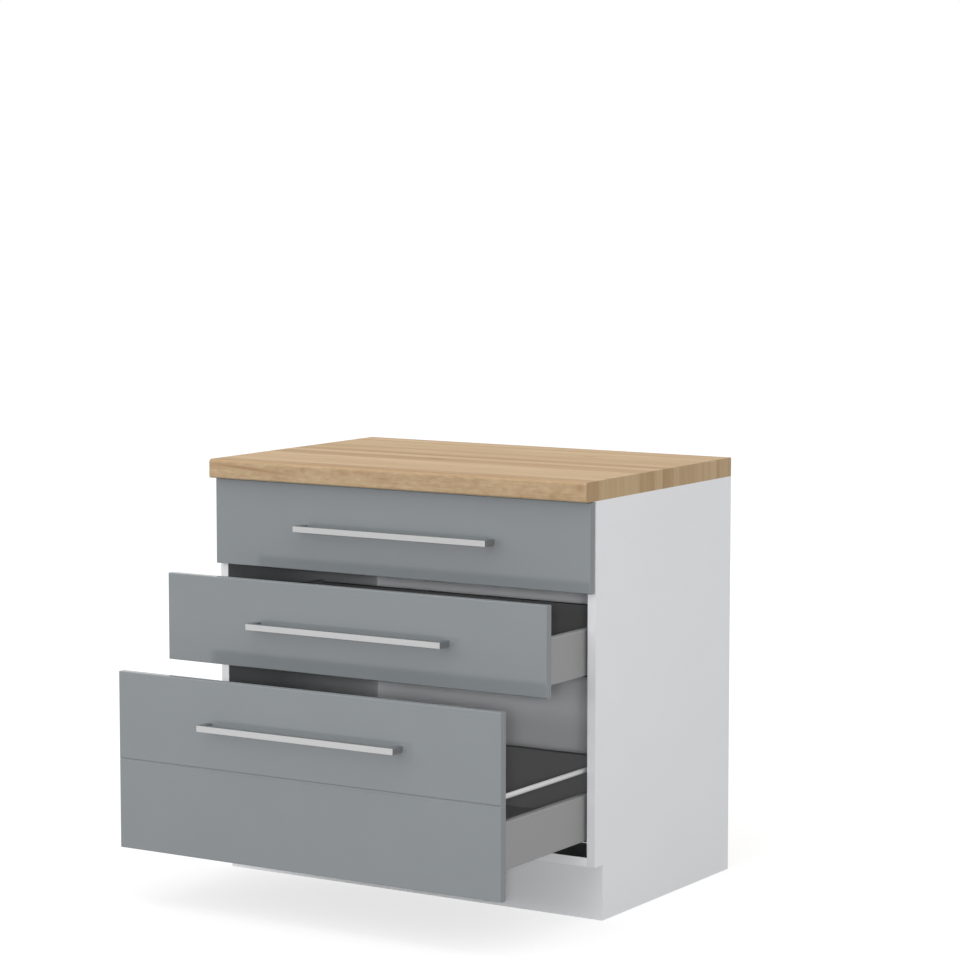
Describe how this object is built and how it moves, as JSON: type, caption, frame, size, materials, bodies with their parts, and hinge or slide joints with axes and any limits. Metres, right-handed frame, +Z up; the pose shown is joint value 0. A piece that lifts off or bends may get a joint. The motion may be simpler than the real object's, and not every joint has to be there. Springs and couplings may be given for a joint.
{
  "type": "kitchen base cabinet with drawers",
  "caption": "Floor-standing kitchen base cabinet: white carcass with toe kick, oak-look worktop, grey drawer fronts with bar handles, steel-sided drawers on telescopic runners.",
  "frame": {"origin": "on the floor, at the middle of the cabinet's width and of the depth that it takes up with the drawers as stored, 470 mm in front of the wall plane", "axes": "+Z up, +X to the right seen from the front, +Y towards the wall; the drawers open towards -Y"},
  "size_m": [0.9, 0.943, 0.87],
  "materials": {
    "white_board": "white melamine-faced chipboard, satin",
    "grey_hardboard": "lacquered hardboard, matt",
    "oak_worktop": "oak-look laminate, satin, grain along the width",
    "beech": "bare beech",
    "grey_lacquer": "grey foiled board, high gloss",
    "brushed_handle": "brushed along its length",
    "grey_steel": "grey powder coat",
    "anthracite_board": "anthracite melamine-faced chipboard, matt",
    "railing_tube": "pale grey powder coat",
    "zinc_casting": "tumbled zinc",
    "grey_plastic": "moulded, matt",
    "zinc_plated_steel": "zinc-plated"
  },
  "bodies": {
    "carcass": {"back_panel": "grey_hardboard", "bottom_panel": "white_board", "bottom_runner_cabinet_left": "zinc_plated_steel", "bottom_runner_cabinet_right": "zinc_plated_steel", "cam_bolts": "zinc_plated_steel", "cam_discs": "zinc_casting", "dowels": "beech", "front_rail": "white_board", "middle_runner_cabinet_left": "zinc_plated_steel", "middle_runner_cabinet_right": "zinc_plated_steel", "plinth_brackets": "grey_plastic", "plinth_panel": "white_board", "rear_rail": "white_board", "runner_screws": "zinc_plated_steel", "side_panel_left": "white_board", "side_panel_right": "white_board", "top_runner_cabinet_left": "zinc_plated_steel", "top_runner_cabinet_right": "zinc_plated_steel", "worktop": "oak_worktop", "worktop_screws": "zinc_plated_steel"},
    "top_drawer": {"top_front": "grey_lacquer", "top_handle": "brushed_handle", "top_handle_screws": "zinc_plated_steel", "top_side_left": "grey_steel", "top_side_right": "grey_steel", "top_base": "anthracite_board", "top_back": "anthracite_board", "top_front_brackets": "zinc_casting", "top_back_brackets": "zinc_plated_steel", "top_runner_drawer": "zinc_plated_steel"},
    "middle_drawer": {"middle_front": "grey_lacquer", "middle_handle": "brushed_handle", "middle_handle_screws": "zinc_plated_steel", "middle_side_left": "grey_steel", "middle_side_right": "grey_steel", "middle_base": "anthracite_board", "middle_back": "anthracite_board", "middle_front_brackets": "zinc_casting", "middle_back_brackets": "zinc_plated_steel", "middle_runner_drawer": "zinc_plated_steel"},
    "bottom_drawer": {"bottom_front": "grey_lacquer", "bottom_handle": "brushed_handle", "bottom_handle_screws": "zinc_plated_steel", "bottom_side_left": "grey_steel", "bottom_side_right": "grey_steel", "bottom_base": "anthracite_board", "bottom_back": "anthracite_board", "bottom_front_brackets": "zinc_casting", "bottom_back_brackets": "zinc_plated_steel", "bottom_runner_drawer": "zinc_plated_steel", "bottom_railing_left": "railing_tube", "bottom_railing_right": "railing_tube", "bottom_railing_plugs": "grey_plastic"},
    "top_runner": {"top_runner_middle_left": "zinc_plated_steel", "top_runner_middle_right": "zinc_plated_steel"},
    "middle_runner": {"middle_runner_middle_left": "zinc_plated_steel", "middle_runner_middle_right": "zinc_plated_steel"},
    "bottom_runner": {"bottom_runner_middle_left": "zinc_plated_steel", "bottom_runner_middle_right": "zinc_plated_steel"}
  },
  "joints": [
    {"name": "top_drawer_slide", "type": "slide", "parent": "carcass", "child": "top_drawer", "axis": [0, -1, 0], "range_m": [0, 0.48]},
    {"name": "top_runner_slide", "type": "slide", "parent": "carcass", "child": "top_runner", "axis": [0, -1, 0], "range_m": [0, 0.24]},
    {"name": "middle_drawer_slide", "type": "slide", "parent": "carcass", "child": "middle_drawer", "axis": [0, -1, 0], "range_m": [-0.164, 0.316]},
    {"name": "middle_runner_slide", "type": "slide", "parent": "carcass", "child": "middle_runner", "axis": [0, -1, 0], "range_m": [-0.082, 0.158]},
    {"name": "bottom_drawer_slide", "type": "slide", "parent": "carcass", "child": "bottom_drawer", "axis": [0, -1, 0], "range_m": [-0.328, 0.152]},
    {"name": "bottom_runner_slide", "type": "slide", "parent": "carcass", "child": "bottom_runner", "axis": [0, -1, 0], "range_m": [-0.164, 0.076]}
  ],
  "couplings": [
    {"joint": "top_runner_slide", "follows": "top_drawer_slide", "ratio": 0.5},
    {"joint": "middle_runner_slide", "follows": "middle_drawer_slide", "ratio": 0.5},
    {"joint": "bottom_runner_slide", "follows": "bottom_drawer_slide", "ratio": 0.5}
  ]
}
